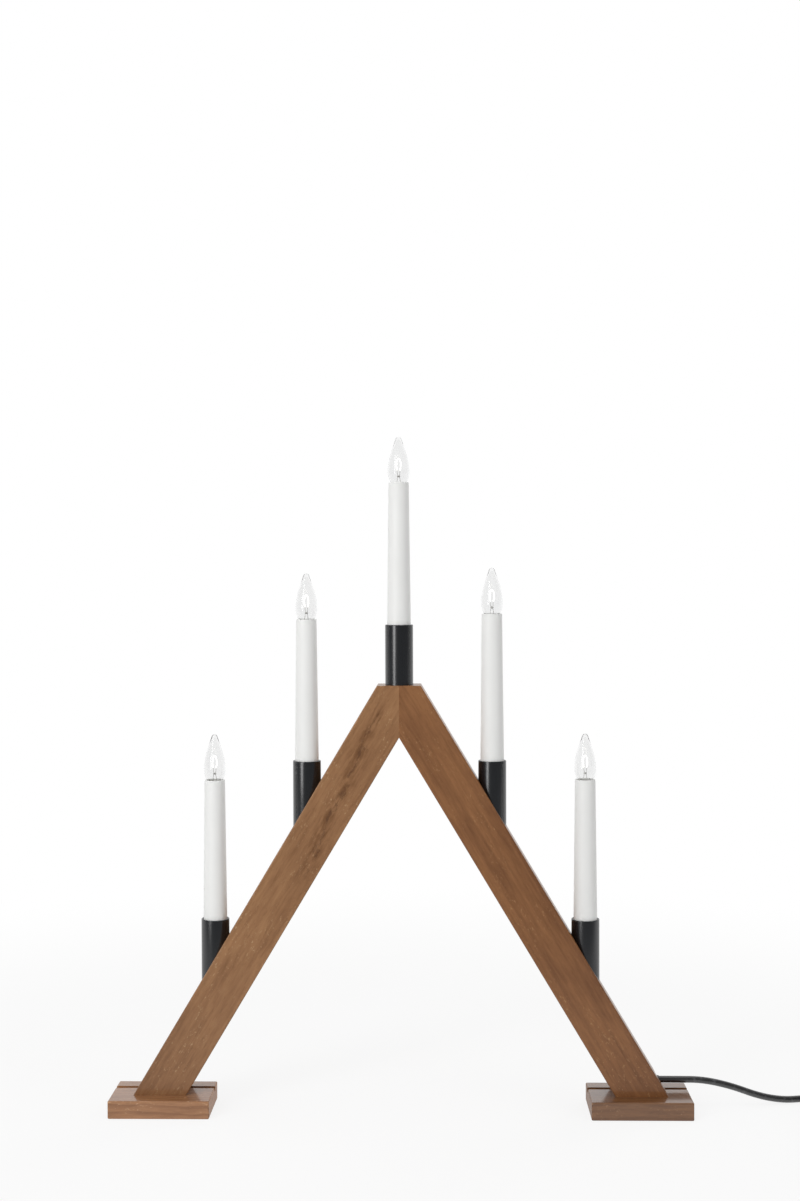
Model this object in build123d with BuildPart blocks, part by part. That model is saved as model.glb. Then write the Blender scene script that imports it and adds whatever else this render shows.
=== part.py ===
"""Electric candle arch: an A-frame of two wooden legs with five candle lamps.

Millimetres. +Z is up, the front faces -Y, and the origin lies on the surface that the
arch stands on, midway between its feet.
"""

import os
from math import atan, cos, pi, radians, sin, tan

from build123d import *

# Legs: two bars that lean together and meet in a vertical mitre under a flat top
leg_angle = 59.1
leg_width = 33.5
leg_thickness = 26.0
leg_setback = 13.5
inner_apex_z = 277.7
flat_top_z = 316.0
leg_ease = 0.8

# Feet: blocks with a groove along the top, nearer to the back edge
foot_length = 74.4
foot_depth = 48.0
foot_height = 13.3
foot_shift = 1.0
foot_ease = 1.0
groove_width = 4.7
groove_depth = 3.0
groove_from_back = 12.3

# Sleeves: straight metal tubes, each in a blind bore; their rims rise above the wood on the axis
candle_pitch = 68.75
low_rim_rise = 28.9
middle_rim_rise = 31.7
top_rim_rise = 44.5
sleeve_radius = 10.35
sleeve_wall = 1.2
sleeve_length = 60.0
sleeve_floor = 1.5
sleeve_edge = 0.35
bore_clearance = 0.15

# Candle tubes: tapered above the rim, straight inside the sleeve, with a small lift each
tube_base_radius = 8.75
tube_top_radius = 7.55
tube_show = 104.5
tube_insert = 40.0
tube_wall = 1.3
tube_edge = 0.5
far_left_lift = -1.2
left_lift = 0.5
centre_lift = 0.7
right_lift = 4.2
far_right_lift = -1.0
mouth_radius = 6.35
ledge_height = 1.4
ledge_lap = 1.0

# Bulbs: flame-shaped glass on a screw cap; heights are taken from the top of the candle tube
glass_radius = 7.95
glass_show = 33.8
glass_wall = 0.6
glass_belly_height = 7.4
glass_shoulder_height = 22.0
glass_shoulder_radius = 5.55
cap_drop = 2.5
cap_radius = 4.7
cap_wall = 0.4
cap_length = 9.0
cap_cup_depth = 4.0
cement_gap = 0.1
insulator_height = 0.9
insulator_radius = 3.1
tip_radius = 2.0
tip_height = 1.4

# Filament mount: one wire up to the filament and down again, held by a glass bead
lead_radius = 0.25
lead_sides = 6
lead_foot_half = 1.6
lead_waist_half = 0.75
lead_top_half = 1.1
lead_waist_height = 6.5
lead_top_height = 11.5
filament_height = 19.5
lead_bend = 0.6
bead_radius = 1.15
bead_depth = 1.3
bead_height = 1.2

# Lamp sockets: screw shells on a ledge in the candle tube, with a riveted centre contact
thread_clearance = 0.3
socket_wall = 0.5
socket_length = 11.0
socket_floor = 1.5
socket_clearance = 0.1
contact_gap = 0.3
contact_head_radius = 2.4
contact_head_height = 0.6
contact_pin_radius = 1.4
contact_tail = 1.2

# Wire ways: a milled channel at the back of each leg, closed by a flush strip
channel_inset = 8.6
channel_width = 8.0
channel_depth = 7.0
cover_width = 12.0
cover_thickness = 2.0
cover_clearance = 0.1
wire_bore_radius = 4.5
wire_drill_radius = 2.5
wire_sump = 1.0
wire_radius = 0.9
wire_sides = 8
wire_spacing = 2.6
wire_gap = 0.25
wire_bend = 2.0
wire_end_gap = 0.3

# Joints in the wood
dowel_radius = 3.0
dowel_length = 30.0
dowel_clearance = 0.1
dowel_spacing = 7.0
dowel_shift = 3.0
dowel_rise = 8.3
dowel_edge = 0.6
screw_radius = 1.8
screw_head_radius = 3.6
screw_head_angle = 90
screw_length = 28.0
screw_clearance = 0.1
screw_spacing = 12.0
screw_shift = 4.0
screw_lean_in = 6.5
screw_recess = 0.4

# Strain relief in a notch at the back of the right leg, and the cord that it holds
notch_height = 13.0
notch_depth = 8.5
relief_block = 9.0
relief_fit = 0.15
boot_length = 20.0
boot_root_radius = 3.7
boot_end_radius = 3.0
boot_ring_depth = 0.5
boot_rings = 4
cord_diameter = 5.0
cord_straight = 14.0
corner_share = 0.45

# Coil of the cord that is put away: layers that spiral in and out again, and a tail to the plug
coil_turn_step = 5.5
coil_layer_step = 5.5
coil_outer_radius = 32.5
coil_layers = 4
coil_half_turns = 4
coil_sides = 10
coil_lead_in = 12.0
coil_tail = 60.0
coil_tail_sway = 15.0
coil_tail_end = 5.0
gap_sample_step = 2.0
gap_skip = 15.0
tie_width = 7.0
tie_thickness = 0.5
tie_clearance = 0.15
tie_slack = 0.6

# Plug: two round pins in a flat moulded body; shares run from its back to its face
plug_width = 35.0
plug_thickness = 13.7
plug_body_length = 36.0
plug_length_shares = [0.0, 0.3, 0.68, 1.0]
plug_width_shares = [0.38, 0.6, 1.0, 1.0]
plug_corner = 4.0
plug_edge = 2.5
plug_boot_length = 18.0
plug_boot_root_radius = 4.2
plug_boot_end_radius = 3.2
pin_radius = 2.0
pin_length = 19.0
pin_spacing = 18.6
pin_end_round = 1.2

# How far a cut runs past the face that it opens
overrun = 4.0

# Worked out from the sizes above
slope = tan(radians(leg_angle))
leg_level_width = leg_width / sin(radians(leg_angle))
leg_front_y = leg_setback - foot_depth / 2
leg_mid_y = leg_front_y + leg_thickness / 2
leg_back_y = leg_front_y + leg_thickness
cord_radius = cord_diameter / 2
channel_apex_z = inner_apex_z + channel_inset / cos(radians(leg_angle))
leg_direction = (cos(radians(leg_angle)), 0, -sin(radians(leg_angle)))
socket_radius = cap_radius + thread_clearance + socket_wall
tip_low = cap_drop + cap_length + insulator_height + tip_height
socket_floor_low = tip_low + contact_gap + contact_head_height + socket_floor

# The flame leans in by this angle above its shoulder, and its point is a ball that this lean touches
flame_rise = glass_shoulder_height - glass_belly_height
flame_lean = 2 * atan((glass_radius - glass_shoulder_radius) / flame_rise)
flame_reach = (glass_show - glass_shoulder_height) * sin(flame_lean)
flame_round = (glass_shoulder_radius * cos(flame_lean) - flame_reach) / (1 - sin(flame_lean))

candle_names = ["far_left", "left", "centre", "right", "far_right"]
tube_lifts = [far_left_lift, left_lift, centre_lift, right_lift, far_right_lift]
candle_places = [candle_pitch * (step - len(candle_names) // 2) for step in range(len(candle_names))]
sides = {"left": -1, "right": 1}

os.makedirs("parts", exist_ok=True)


def inner_x(z):
    """Distance from the middle plane to a leg's inner face at height z."""
    return (inner_apex_z - z) / slope


def outer_x(z):
    """Distance from the middle plane to a leg's outer face at height z."""
    return inner_x(z) + leg_level_width


def outer_z(x):
    """Height of the legs' outer faces at a distance x from the middle plane."""
    return inner_apex_z + slope * (leg_level_width - abs(x))


def channel_z(x):
    """Height of the wire channel's middle line at a distance x from the middle plane."""
    return channel_apex_z - slope * abs(x)


def spin_plane(x, z):
    """Upright plane through a candle's axis, with its own height 0 at z."""
    return Plane(origin=(x, leg_mid_y, z), x_dir=(1, 0, 0), z_dir=(0, -1, 0))


def spin_axis(x):
    """A candle's upright axis."""
    return Axis((x, leg_mid_y, 0), (0, 0, 1))


def upright(x, z):
    """Level plane on a candle's axis at height z."""
    return Plane(origin=(x, leg_mid_y, z))


def keep(part, name):
    """Labels a finished piece and writes its file."""
    part.label = name
    export_step(part, f"parts/{name}.step")


def back_plane(depth):
    """Upright plane that lies a depth in front of the legs' back face, looking at the back."""
    return Plane(origin=(0, leg_back_y - depth, 0), x_dir=(-1, 0, 0), z_dir=(0, 1, 0))


def strip_points(side, width, low_z):
    """Outline of a band along a leg's wire channel, from the middle plane down to a level cut."""
    rise = width / 2 / cos(radians(leg_angle))
    run = width / 2 / sin(radians(leg_angle))
    low_x = (channel_apex_z - low_z) / slope
    return [
        (0, channel_apex_z + rise),
        (-side * (low_x + run), low_z),
        (-side * (low_x - run), low_z),
        (0, channel_apex_z - rise),
    ]


low_rim_z = outer_z(2 * candle_pitch) + low_rim_rise
middle_rim_z = outer_z(candle_pitch) + middle_rim_rise
top_rim_z = flat_top_z + top_rim_rise
rim_heights = [low_rim_z, middle_rim_z, top_rim_z, middle_rim_z, low_rim_z]
foot_x = inner_x(foot_height) + leg_level_width / 2 - foot_shift
foot_back_y = foot_depth / 2
groove_y = foot_back_y - groove_from_back - groove_width / 2
notch_top_z = foot_height + notch_height
notch_mid_y = leg_back_y - notch_depth / 2
cord_exit_z = foot_height + notch_height / 2
relief_x = inner_x(foot_height) + channel_inset / sin(radians(leg_angle)) - relief_block / 2
cord_exit_x = relief_x + relief_block + boot_length
screw_top_z = screw_recess + screw_length
screw_xs = [inner_x(foot_height) + screw_lean_in + step * screw_spacing for step in (0, 1)]
screw_y = leg_mid_y - screw_shift
dowel_z = inner_apex_z + dowel_rise
dowel_ys = [leg_mid_y - dowel_shift - step * dowel_spacing / 2 for step in (-1, 1)]

# Legs
for side_name, side in sides.items():
    with BuildPart() as leg:
        with BuildSketch(Plane.XZ.offset(-leg_back_y)):
            with BuildLine():
                Polyline(
                    (0, inner_apex_z),
                    (side * inner_x(foot_height), foot_height),
                    (side * outer_x(foot_height), foot_height),
                    (side * outer_x(flat_top_z), flat_top_z),
                    (0, flat_top_z),
                    close=True,
                )
            make_face()
        extrude(amount=leg_thickness)
        along_leg = Axis((0, 0, 0), (side * leg_direction[0], 0, leg_direction[2]))
        fillet(leg.edges().filter_by(along_leg), radius=leg_ease)
        # Blind bores for the sleeves, each with a wire bore below and a drilling to the channel
        for x, rim_z in zip(candle_places, rim_heights):
            if x * side < 0:
                continue
            bore_z = rim_z - sleeve_length
            with BuildSketch(upright(x, bore_z)):
                Circle(sleeve_radius + bore_clearance)
            extrude(amount=sleeve_length, mode=Mode.SUBTRACT)
            sump_z = channel_z(x) - wire_drill_radius - wire_sump
            with BuildSketch(upright(x, sump_z)):
                Circle(wire_bore_radius)
            extrude(amount=bore_z - sump_z, mode=Mode.SUBTRACT)
            with BuildSketch(Plane(origin=(x, leg_mid_y, channel_z(x)), z_dir=(0, 1, 0))):
                Circle(wire_drill_radius)
            extrude(amount=leg_thickness / 2 - channel_depth / 2, mode=Mode.SUBTRACT)
        # Wire channel and the rebate for its cover
        low_z = notch_top_z
        with BuildSketch(back_plane(0)):
            Polygon(*strip_points(side, channel_width, low_z), align=None)
        extrude(amount=-channel_depth, mode=Mode.SUBTRACT)
        with BuildSketch(back_plane(0)):
            Polygon(*strip_points(side, cover_width, low_z), align=None)
        extrude(amount=-cover_thickness, mode=Mode.SUBTRACT)
        # Blind holes for the dowels and the screws
        for y in dowel_ys:
            with BuildSketch(Plane(origin=(0, y, dowel_z), z_dir=(side, 0, 0))):
                Circle(dowel_radius + dowel_clearance)
            extrude(amount=dowel_length / 2 + dowel_clearance, mode=Mode.SUBTRACT)
        for x in screw_xs:
            with BuildSketch(Plane(origin=(side * x, screw_y, foot_height))):
                Circle(screw_radius + screw_clearance)
            extrude(amount=screw_top_z - foot_height + screw_clearance, mode=Mode.SUBTRACT)
        # Notch for the strain relief, open to the back and to the outer face
        if side > 0:
            with BuildSketch(Plane(origin=(0, leg_back_y, 0), x_dir=(1, 0, 0), z_dir=(0, -1, 0))):
                with BuildLine():
                    Polyline(
                        (relief_x - relief_fit, foot_height - overrun),
                        (outer_x(foot_height) + overrun, foot_height - overrun),
                        (outer_x(foot_height) + overrun, notch_top_z),
                        (relief_x - relief_fit, notch_top_z),
                        close=True,
                    )
                make_face()
            extrude(amount=notch_depth, mode=Mode.SUBTRACT)
    keep(leg.part, f"{side_name}_leg")

    # Foot with its groove and countersunk holes
    with BuildPart() as foot:
        with BuildSketch(Plane(origin=(side * foot_x, 0, 0))):
            Rectangle(foot_length, foot_depth)
        extrude(amount=foot_height)
        fillet(foot.edges(), radius=foot_ease)
        with BuildSketch(Plane(origin=(side * foot_x, groove_y, foot_height))):
            Rectangle(foot_length + overrun, groove_width)
        extrude(amount=-groove_depth, mode=Mode.SUBTRACT)
        for x in screw_xs:
            with BuildSketch(Plane(origin=(side * x, screw_y, 0))):
                Circle(screw_radius + screw_clearance)
            extrude(amount=foot_height, mode=Mode.SUBTRACT)
            with BuildSketch(Plane(origin=(side * x, screw_y, 0))):
                Circle(screw_head_radius + screw_clearance)
            extrude(amount=screw_recess, mode=Mode.SUBTRACT)
            with BuildSketch(Plane(origin=(side * x, screw_y, screw_recess))):
                Circle(screw_head_radius + screw_clearance)
            extrude(
                amount=screw_head_radius - screw_radius,
                taper=screw_head_angle / 2,
                mode=Mode.SUBTRACT,
            )
    keep(foot.part, f"{side_name}_foot")

    # Cover strip, flush with the back of the leg
    with BuildPart() as cover:
        cover_low_z = notch_top_z + cover_clearance
        with BuildSketch(back_plane(cover_thickness)):
            Polygon(*strip_points(side, cover_width - 2 * cover_clearance, cover_low_z), align=None)
        extrude(amount=cover_thickness)
    keep(cover.part, f"{side_name}_channel_cover")

# Dowels across the mitre
with BuildPart() as mitre_dowels:
    for y in dowel_ys:
        with BuildSketch(Plane(origin=(-dowel_length / 2, y, dowel_z), z_dir=(1, 0, 0))):
            Circle(dowel_radius)
        extrude(amount=dowel_length)
    chamfer(mitre_dowels.edges().filter_by(GeomType.CIRCLE), length=dowel_edge)
keep(mitre_dowels.part, "mitre_dowels")

# Countersunk screws through the feet into the legs
with BuildPart() as foot_screws:
    for side in sides.values():
        for x in screw_xs:
            head_height = screw_head_radius - screw_radius
            head_centre = (side * x, screw_y, screw_recess)
            with BuildSketch(Plane(origin=head_centre, x_dir=(1, 0, 0), z_dir=(0, -1, 0))):
                with BuildLine():
                    Polyline(
                        (0, 0),
                        (screw_head_radius, 0),
                        (screw_radius, head_height),
                        (screw_radius, screw_length - screw_radius),
                        (0, screw_length),
                        close=True,
                    )
                make_face()
            revolve(axis=Axis((side * x, screw_y, 0), (0, 0, 1)))
keep(foot_screws.part, "foot_screws")

# Candles
for name, x, rim_z, lift in zip(candle_names, candle_places, rim_heights, tube_lifts):
    sleeve_z = rim_z - sleeve_length
    tube_top_z = rim_z + tube_show + lift
    tube_low_z = rim_z - tube_insert + lift
    inner_radius = sleeve_radius - sleeve_wall

    with BuildPart() as sleeve:
        with BuildSketch(spin_plane(x, sleeve_z)):
            with BuildLine():
                Polyline(
                    (wire_bore_radius, 0),
                    (sleeve_radius, 0),
                    (sleeve_radius, sleeve_length - sleeve_edge),
                    (sleeve_radius - sleeve_edge, sleeve_length),
                    (inner_radius + sleeve_edge, sleeve_length),
                    (inner_radius, sleeve_length - sleeve_edge),
                    (inner_radius, sleeve_floor),
                    (wire_bore_radius, sleeve_floor),
                    close=True,
                )
            make_face()
        revolve(axis=spin_axis(x))
    keep(sleeve.part, f"{name}_sleeve")

    # Heights below run down from the top of the tube
    length = tube_show + tube_insert
    seat_radius = socket_radius + socket_clearance
    socket_low = length - socket_floor_low
    with BuildPart() as tube:
        with BuildSketch(spin_plane(x, tube_low_z)):
            with BuildLine():
                Polyline(
                    (tube_base_radius - tube_wall, 0),
                    (tube_base_radius, 0),
                    (tube_base_radius, tube_insert),
                    (tube_top_radius, length - tube_edge),
                    (tube_top_radius - tube_edge, length),
                    (mouth_radius, length),
                    (mouth_radius, socket_low + socket_length),
                    (seat_radius, socket_low + socket_length),
                    (seat_radius, socket_low),
                    (seat_radius - ledge_lap, socket_low),
                    (seat_radius - ledge_lap, socket_low - ledge_height),
                    (tube_top_radius - tube_wall, socket_low - ledge_height),
                    close=True,
                )
            make_face()
        revolve(axis=spin_axis(x))
    keep(tube.part, f"{name}_candle_tube")

    with BuildPart() as socket:
        with BuildSketch(spin_plane(x, tube_top_z - socket_floor_low)):
            with BuildLine():
                Polyline(
                    (contact_pin_radius + socket_clearance, 0),
                    (socket_radius, 0),
                    (socket_radius, socket_length),
                    (socket_radius - socket_wall, socket_length),
                    (socket_radius - socket_wall, socket_floor),
                    (contact_pin_radius + socket_clearance, socket_floor),
                    close=True,
                )
            make_face()
        revolve(axis=spin_axis(x))
    keep(socket.part, f"{name}_lamp_socket")

    with BuildPart() as contact:
        with BuildSketch(spin_plane(x, tube_top_z - socket_floor_low)):
            with BuildLine():
                Polyline(
                    (0, -contact_tail),
                    (contact_pin_radius, -contact_tail),
                    (contact_pin_radius, socket_floor),
                    (contact_head_radius, socket_floor),
                    (contact_head_radius, socket_floor + contact_head_height),
                    (0, socket_floor + contact_head_height),
                    close=True,
                )
            make_face()
        revolve(axis=spin_axis(x))
    keep(contact.part, f"{name}_socket_contact")

    # Glass envelope: a flame of tangent arcs, less the hollow, which follows it a wall inside
    neck_radius = cap_radius - cap_wall - cement_gap
    with BuildPart() as glass:
        for inset, mode in ((0, Mode.ADD), (glass_wall, Mode.SUBTRACT)):
            neck = (neck_radius - inset, inset - cap_drop)
            belly = (glass_radius - inset, glass_belly_height)
            shoulder = (
                glass_shoulder_radius - inset * cos(flame_lean),
                glass_shoulder_height - inset * sin(flame_lean),
            )
            point = (0, glass_show - inset)
            point_start = (
                (flame_round - inset) * cos(flame_lean),
                point[1] - (flame_round - inset) * (1 - sin(flame_lean)),
            )
            with BuildSketch(spin_plane(x, tube_top_z)):
                with BuildLine():
                    Line((0, neck[1]), neck)
                    TangentArc(belly, neck, tangent=(0, -1))
                    TangentArc(belly, shoulder, tangent=(0, 1))
                    Line(shoulder, point_start)
                    TangentArc(point, point_start, tangent=(1, 0))
                    Line(point, (0, neck[1]))
                make_face()
            revolve(axis=spin_axis(x), mode=mode)
        with BuildSketch(upright(x, tube_top_z - cap_drop - cap_cup_depth + cement_gap)):
            Circle(neck_radius)
        extrude(amount=cap_cup_depth - cement_gap)
    keep(glass.part, f"{name}_bulb_glass")

    with BuildPart() as cap:
        with BuildSketch(spin_plane(x, tube_top_z - cap_drop - cap_length)):
            with BuildLine():
                Polyline(
                    (0, -insulator_height),
                    (insulator_radius - insulator_height, -insulator_height),
                    (insulator_radius, 0),
                    (cap_radius - cap_wall, 0),
                    (cap_radius, cap_wall),
                    (cap_radius, cap_length - cap_wall),
                    (cap_radius - cap_wall, cap_length),
                    (cap_radius - cap_wall, cap_length - cap_cup_depth),
                    (0, cap_length - cap_cup_depth),
                    close=True,
                )
            make_face()
        revolve(axis=spin_axis(x))
    keep(cap.part, f"{name}_bulb_cap")

    with BuildPart() as tip:
        with BuildSketch(spin_plane(x, tube_top_z - tip_low)):
            with BuildLine():
                Line((tip_radius, tip_height), (0, tip_height))
                Line((0, tip_height), (0, 0))
                TangentArc((0, 0), (tip_radius, tip_height), tangent=(1, 0))
            make_face()
        revolve(axis=spin_axis(x))
    keep(tip.part, f"{name}_bulb_contact")

    # Filament mount on the neck's inner floor
    mount_z = tube_top_z - cap_drop + glass_wall
    with BuildPart() as filament:
        with BuildLine(spin_plane(x, mount_z)) as wire:
            FilletPolyline(
                (-lead_foot_half, 0),
                (-lead_waist_half, lead_waist_height),
                (-lead_top_half, lead_top_height),
                (0, filament_height),
                (lead_top_half, lead_top_height),
                (lead_waist_half, lead_waist_height),
                (lead_foot_half, 0),
                radius=lead_bend,
            )
        with BuildSketch(Plane(origin=wire.line @ 0, z_dir=wire.line % 0)):
            RegularPolygon(lead_radius, lead_sides)
        sweep(path=wire.line)
        with BuildSketch(upright(x, mount_z + lead_waist_height - bead_height / 2)):
            SlotOverall(2 * bead_radius, bead_depth)
        extrude(amount=bead_height)
        with BuildSketch(upright(x, mount_z - overrun)):
            Circle(glass_radius)
        extrude(amount=overrun, mode=Mode.SUBTRACT)
    keep(filament.part, f"{name}_filament")

# Wiring: two insulated conductors along each channel, and a pair up into each socket
wire_y = leg_back_y - channel_depth + wire_gap + wire_radius
with BuildPart() as wiring_harness:
    for side in sides.values():
        for step in (-1, 1):
            rise = step * wire_spacing / 2 / cos(radians(leg_angle))
            low_z = notch_top_z + wire_spacing
            low_x = side * (channel_apex_z + rise - low_z) / slope
            start = Vector(low_x, wire_y, low_z)
            way = Vector(-side * leg_direction[0], 0, -leg_direction[2])
            end_z = channel_apex_z + rise - wire_spacing
            reach = (end_z - low_z) / way.Z
            with BuildSketch(Plane(origin=start, z_dir=way)):
                RegularPolygon(wire_radius, wire_sides)
            extrude(amount=reach)
    for x, rim_z, lift in zip(candle_places, rim_heights, tube_lifts):
        for step in (-1, 1):
            wire_x = x + step * wire_spacing / 2
            drill_z = channel_z(x)
            top_z = rim_z + tube_show + lift - socket_floor_low - contact_tail - wire_end_gap
            with BuildLine() as riser:
                FilletPolyline(
                    (wire_x, wire_y - wire_radius - wire_gap, drill_z),
                    (wire_x, leg_mid_y, drill_z),
                    (wire_x, leg_mid_y, top_z),
                    radius=wire_bend,
                )
            with BuildSketch(Plane(origin=riser.line @ 0, z_dir=riser.line % 0)):
                RegularPolygon(wire_radius, wire_sides)
            sweep(path=riser.line)
keep(wiring_harness.part, "wiring_harness")

# Strain relief: a block in the notch with a ringed, tapered boot towards the outer side
with BuildPart() as strain_relief:
    block_height = notch_height - 2 * relief_fit
    block_depth = notch_depth - relief_fit
    block_start = (relief_x, leg_back_y - block_depth / 2, cord_exit_z)
    with BuildSketch(Plane(origin=block_start, x_dir=(0, 1, 0), z_dir=(1, 0, 0))):
        Rectangle(block_depth, block_height)
    extrude(amount=relief_block)
    ring_step = boot_length / (2 * boot_rings + 1)
    boot_origin = (relief_x + relief_block, notch_mid_y, cord_exit_z)
    with BuildSketch(Plane(origin=boot_origin, x_dir=(1, 0, 0), z_dir=(0, -1, 0))):
        with BuildLine():
            outline = [(0, 0), (0, boot_root_radius)]
            for ring in range(boot_rings):
                for place, inset in ((1, 0), (1, boot_ring_depth), (2, boot_ring_depth), (2, 0)):
                    along = (2 * ring + place) * ring_step
                    taper = (boot_root_radius - boot_end_radius) * along / boot_length
                    outline.append((along, boot_root_radius - taper - inset))
            outline += [(boot_length, boot_end_radius), (boot_length, 0)]
            Polyline(*outline, close=True)
        make_face()
    revolve(axis=Axis((0, notch_mid_y, cord_exit_z), (1, 0, 0)))
keep(strain_relief.part, "strain_relief")

# Cord from the strain relief over the foot's end, down to the surface and on to the coil
coil_z = cord_radius + tie_thickness + tie_clearance
cord_route = [
    (cord_exit_x, notch_mid_y, cord_exit_z),
    (cord_exit_x + cord_straight, notch_mid_y, cord_exit_z),
    (226.0, 11.7, 19.5),
    (247.0, 12.7, 14.6),
    (268.5, 14.6, 6.3),
    (287.0, 17.6, cord_radius),
    (303.0, 20.8, cord_radius),
    (316.0, 22.9, coil_z),
    (328.0, 23.4, coil_z),
]
coil_start = Vector(*cord_route[-1])
coil_centre = coil_start + Vector(coil_lead_in, -coil_outer_radius, 0)


def corner_radii(points):
    """The largest arc that each corner of a route leaves room for."""
    radii = []
    for before, here, after in zip(points, points[1:], points[2:]):
        first = Vector(*here) - Vector(*before)
        second = Vector(*after) - Vector(*here)
        half_turn = radians(first.get_angle(second)) / 2
        radii.append(corner_share * min(first.length, second.length) / tan(half_turn))
    return radii


with BuildPart() as cord:
    with BuildLine() as cord_line:
        FilletPolyline(*cord_route, radius=corner_radii(cord_route))
    with BuildSketch(Plane(origin=cord_line.line @ 0, z_dir=cord_line.line % 0)):
        Circle(cord_radius)
    sweep(path=cord_line.line)
keep(cord.part, "cord")
print("cord radii", [round(radius, 1) for radius in corner_radii(cord_route)])
cord_length = cord_line.wire().length
print("cord volume share", cord.part.volume / (pi * cord_radius**2 * cord_length))

# Coil: half turns that step inwards on one layer and outwards on the next, each layer on the last
with BuildPart() as cord_coil:
    with BuildLine() as coil_line:
        Line(coil_start, coil_start + Vector(coil_lead_in, 0, 0))
        coil_end = coil_start + Vector(coil_lead_in, 0, 0)
        heading = 1
        for turn in range(coil_layers * coil_half_turns):
            fold = turn % (2 * coil_half_turns)
            inward = min(fold, 2 * coil_half_turns - fold)
            radius = coil_outer_radius - inward * coil_turn_step / 2
            climbs = turn > 0 and turn % coil_half_turns == 0
            start = coil_end
            coil_end = start + Vector(0, -2 * heading * radius, coil_layer_step if climbs else 0)
            across = coil_end - start
            middle = (start + coil_end) / 2 + Vector(heading * across.length / 2, 0, 0)
            if climbs:
                TangentArc(start, middle, tangent=(heading, 0, 0))
                TangentArc(middle, coil_end, tangent=across)
            else:
                ThreePointArc(start, middle, coil_end)
            heading = -heading
        # Tail: two arcs sway it down to the plug's height, and a short straight meets the plug
        tail = Vector(coil_tail, -coil_tail_sway, plug_thickness / 2 - coil_end.Z)
        along_tail = tail.normalized()
        slant = along_tail * (2 * along_tail.X) - Vector(1, 0, 0)
        TangentArc(coil_end, coil_end + tail / 2, tangent=(1, 0, 0))
        TangentArc(coil_end + tail / 2, coil_end + tail, tangent=slant)
        plug_start = coil_end + tail + Vector(coil_tail_end, 0, 0)
        Line(coil_end + tail, plug_start)
    with BuildSketch(Plane(origin=coil_line.line @ 0, z_dir=coil_line.line % 0)) as coil_section:
        RegularPolygon(cord_radius, coil_sides)
    sweep(path=coil_line.line)
keep(cord_coil.part, "cord_coil")


def least_gap(line):
    """The least clear distance between a wound cord and itself, measured on points."""
    count = round(line.length / gap_sample_step)
    points = [line @ (step / count) for step in range(count + 1)]
    apart = round(gap_skip / gap_sample_step)
    gaps = [
        (points[first] - points[second]).length
        for first in range(len(points))
        for second in range(first + apart, len(points))
    ]
    return min(gaps) - cord_diameter


coil_length = coil_line.wire().length
print("coil least gap", round(least_gap(coil_line.wire()), 3))
print("coil length", round(coil_length, 1), "cord length", round(cord_length, 1))
print("coil volume share", cord_coil.part.volume / (coil_section.sketch.area * coil_length))

# Tie: a flat band round the bundle of turns on the side away from the plug
with BuildPart() as coil_tie:
    bundle_in = coil_outer_radius - coil_half_turns * coil_turn_step / 2 - cord_radius
    bundle_out = coil_outer_radius + cord_radius
    bundle_height = (coil_layers - 1) * coil_layer_step + cord_diameter
    tie_y = coil_centre.Y - (bundle_in + bundle_out) / 2
    tie_z = coil_start.Z - cord_radius + bundle_height / 2
    inner_size = (bundle_out - bundle_in + 2 * tie_slack, bundle_height + 2 * tie_clearance)
    tie_start = (coil_centre.X - tie_width / 2, tie_y, tie_z)
    with BuildSketch(Plane(origin=tie_start, x_dir=(0, 1, 0), z_dir=(1, 0, 0))):
        RectangleRounded(
            inner_size[0] + 2 * tie_thickness,
            inner_size[1] + 2 * tie_thickness,
            cord_radius + tie_clearance + tie_thickness,
        )
        RectangleRounded(*inner_size, cord_radius + tie_clearance, mode=Mode.SUBTRACT)
    extrude(amount=tie_width)
keep(coil_tie.part, "coil_tie")

# Plug: a flat body that widens towards its face, with a boot round the cord and two pins
plug_back = plug_start + Vector(plug_boot_length, 0, 0)
plug_spots = list(zip(plug_length_shares, plug_width_shares))
with BuildPart() as plug_body:
    with BuildSketch(Plane(origin=(plug_back.X, plug_back.Y, 0))) as plug_plan:
        right_edge = [(along * plug_body_length, -wide * plug_width / 2) for along, wide in plug_spots]
        left_edge = [(along * plug_body_length, wide * plug_width / 2) for along, wide in plug_spots]
        Polygon(*right_edge, *reversed(left_edge), align=None)
        fillet(plug_plan.vertices(), radius=plug_corner)
    extrude(amount=plug_thickness)
    rims = plug_body.edges().group_by(Axis.Z)
    fillet(rims[0] + rims[-1], radius=plug_edge)
    with BuildSketch(Plane(origin=plug_start, x_dir=(1, 0, 0), z_dir=(0, -1, 0))):
        with BuildLine():
            Polyline(
                (0, 0),
                (0, plug_boot_end_radius),
                (plug_boot_length, plug_boot_root_radius),
                (plug_boot_length, 0),
                close=True,
            )
        make_face()
    revolve(axis=Axis(plug_start, (1, 0, 0)))
keep(plug_body.part, "plug_body")

with BuildPart() as plug_pins:
    for step in (-1, 1):
        place = plug_back + Vector(plug_body_length, step * pin_spacing / 2, 0)
        with BuildSketch(Plane(origin=place, z_dir=(1, 0, 0))):
            Circle(pin_radius)
        extrude(amount=pin_length)
    ends = plug_pins.edges().filter_by(GeomType.CIRCLE).group_by(Axis.X)[-1]
    fillet(ends, radius=pin_end_round)
keep(plug_pins.part, "plug_pins")
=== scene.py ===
"""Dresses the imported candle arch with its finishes, bulbs and cord, and sets its stage.

Metres. +Z is up and the front faces -Y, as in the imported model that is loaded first.
"""

from math import cos, pi, radians, sin

import bmesh
import bpy
from bpy.props import FloatProperty, FloatVectorProperty, IntProperty, PointerProperty
from mathutils import Matrix, Vector


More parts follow.
